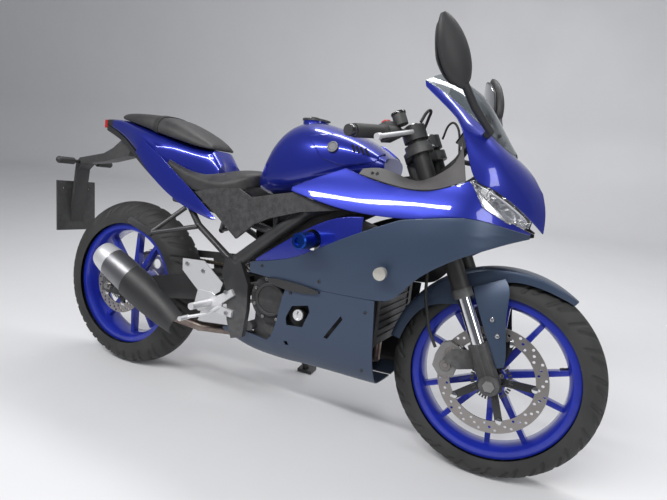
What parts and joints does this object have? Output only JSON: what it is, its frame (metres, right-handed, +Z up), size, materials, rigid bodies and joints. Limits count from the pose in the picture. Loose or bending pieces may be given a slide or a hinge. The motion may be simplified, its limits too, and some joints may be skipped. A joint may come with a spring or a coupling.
{
  "type": "sport motorcycle",
  "caption": "Faired sport motorcycle parked on its side stand: full fairing, clip-on bars, twin seats, cast wheels, disc brakes, chain drive and side silencer, with turning wheels and steering.",
  "frame": {"origin": "on the ground under the middle of the bounding box of the parked motorcycle", "axes": "+X forward, +Y to the left, +Z up, with the motorcycle leaned to its left onto the side stand"},
  "size_m": [2.0461, 0.7618, 1.2315],
  "materials": {
    "blue": "gloss metallic",
    "wheel_blue": "gloss painted cast alloy",
    "slider_blue": "anodised",
    "grey": "satin metallic",
    "black_plastic": "grained",
    "signal": "clear lens",
    "tail_red": "lens",
    "lamp_glass": "clear",
    "screen_glass": "lightly tinted",
    "seat_cover": "grained",
    "frame_black": "satin",
    "engine_alloy": "cast",
    "cover_black": "satin",
    "pipe_steel": "heat stained",
    "silencer": "satin",
    "alloy": "brushed",
    "steel": "plated",
    "disc_steel": "ground",
    "caliper_black": "satin",
    "fork_black": "satin",
    "fork_bright": "polished",
    "bar_black": "satin",
    "tyre": "dull",
    "hose": "dull"
  },
  "bodies": {
    "chassis": {"main_frame": "frame_black", "swingarm": "frame_black", "rear_axle": "steel", "engine": "engine_alloy", "engine_covers": "cover_black", "exhaust_pipes": "pipe_steel", "muffler": "silencer", "muffler_cap": "alloy", "muffler_guard": "black_plastic", "radiator": "cover_black", "fuel_tank": "blue", "rider_seat": "seat_cover", "passenger_seat": "seat_cover", "tail_cowl": "blue", "undertail": "black_plastic", "tail_lamp": "tail_red", "plate_holder": "black_plastic", "knee_panels": "black_plastic", "upper_cowl": "blue", "windscreen": "screen_glass", "headlamps": "lamp_glass", "side_panels": "blue", "side_fairings": "grey", "belly_fairings": "grey", "inner_strips": "blue", "vent_pods": "black_plastic", "cockpit_trims": "black_plastic", "mirrors": "black_plastic", "indicators": "signal", "instruments": "black_plastic", "frame_sliders": "slider_blue", "foot_controls": "alloy", "pillion_brackets": "frame_black", "rear_caliper": "caliper_black", "shock": "frame_black", "chain": "steel", "chain_guard": "black_plastic"},
    "steering": {"fork_tubes": "fork_black", "fork_sliders": "fork_bright", "fork_feet": "fork_black", "yokes": "fork_black", "handlebars": "bar_black", "hand_controls": "bar_black", "levers": "alloy", "front_mudguard": "grey", "fork_guards": "grey", "front_caliper": "caliper_black", "brake_hose": "hose", "front_axle": "steel"},
    "front_wheel": {"front_rim": "wheel_blue", "front_tyre": "tyre", "front_disc": "disc_steel"},
    "rear_wheel": {"rear_rim": "wheel_blue", "rear_tyre": "tyre", "rear_disc": "disc_steel", "rear_sprocket": "steel"},
    "side_stand": {"side_stand": "frame_black"},
    "fuel_cap": {"fuel_cap": "alloy"}
  },
  "joints": [
    {"name": "steering_turn", "type": "hinge", "parent": "chassis", "child": "steering", "pos_m": [0.69581, -0.13306, 0.2729], "axis": [-0.4226, 0.1807, 0.8881], "range_deg": [-37, 31]},
    {"name": "front_wheel_spin", "type": "hinge", "parent": "steering", "child": "front_wheel", "pos_m": [0.72995, -0.12796, 0.28811], "axis": [-0.0474, 0.9742, -0.2208], "continuous": true},
    {"name": "rear_wheel_spin", "type": "hinge", "parent": "chassis", "child": "rear_wheel", "pos_m": [-0.65, -0.1257, 0.3091], "axis": [0, 0.9799, -0.1994], "continuous": true},
    {"name": "side_stand_fold", "type": "hinge", "parent": "chassis", "child": "side_stand", "pos_m": [-0.04998, 0.05523, 0.22535], "axis": [0.1603, 0.9794, 0.1229], "range_deg": [0, 95]},
    {"name": "fuel_cap_lift", "type": "hinge", "parent": "chassis", "child": "fuel_cap", "pos_m": [0.1125, 0.00544, 0.95365], "axis": [0, 0.9799, -0.1994], "range_deg": [0, 100]}
  ]
}
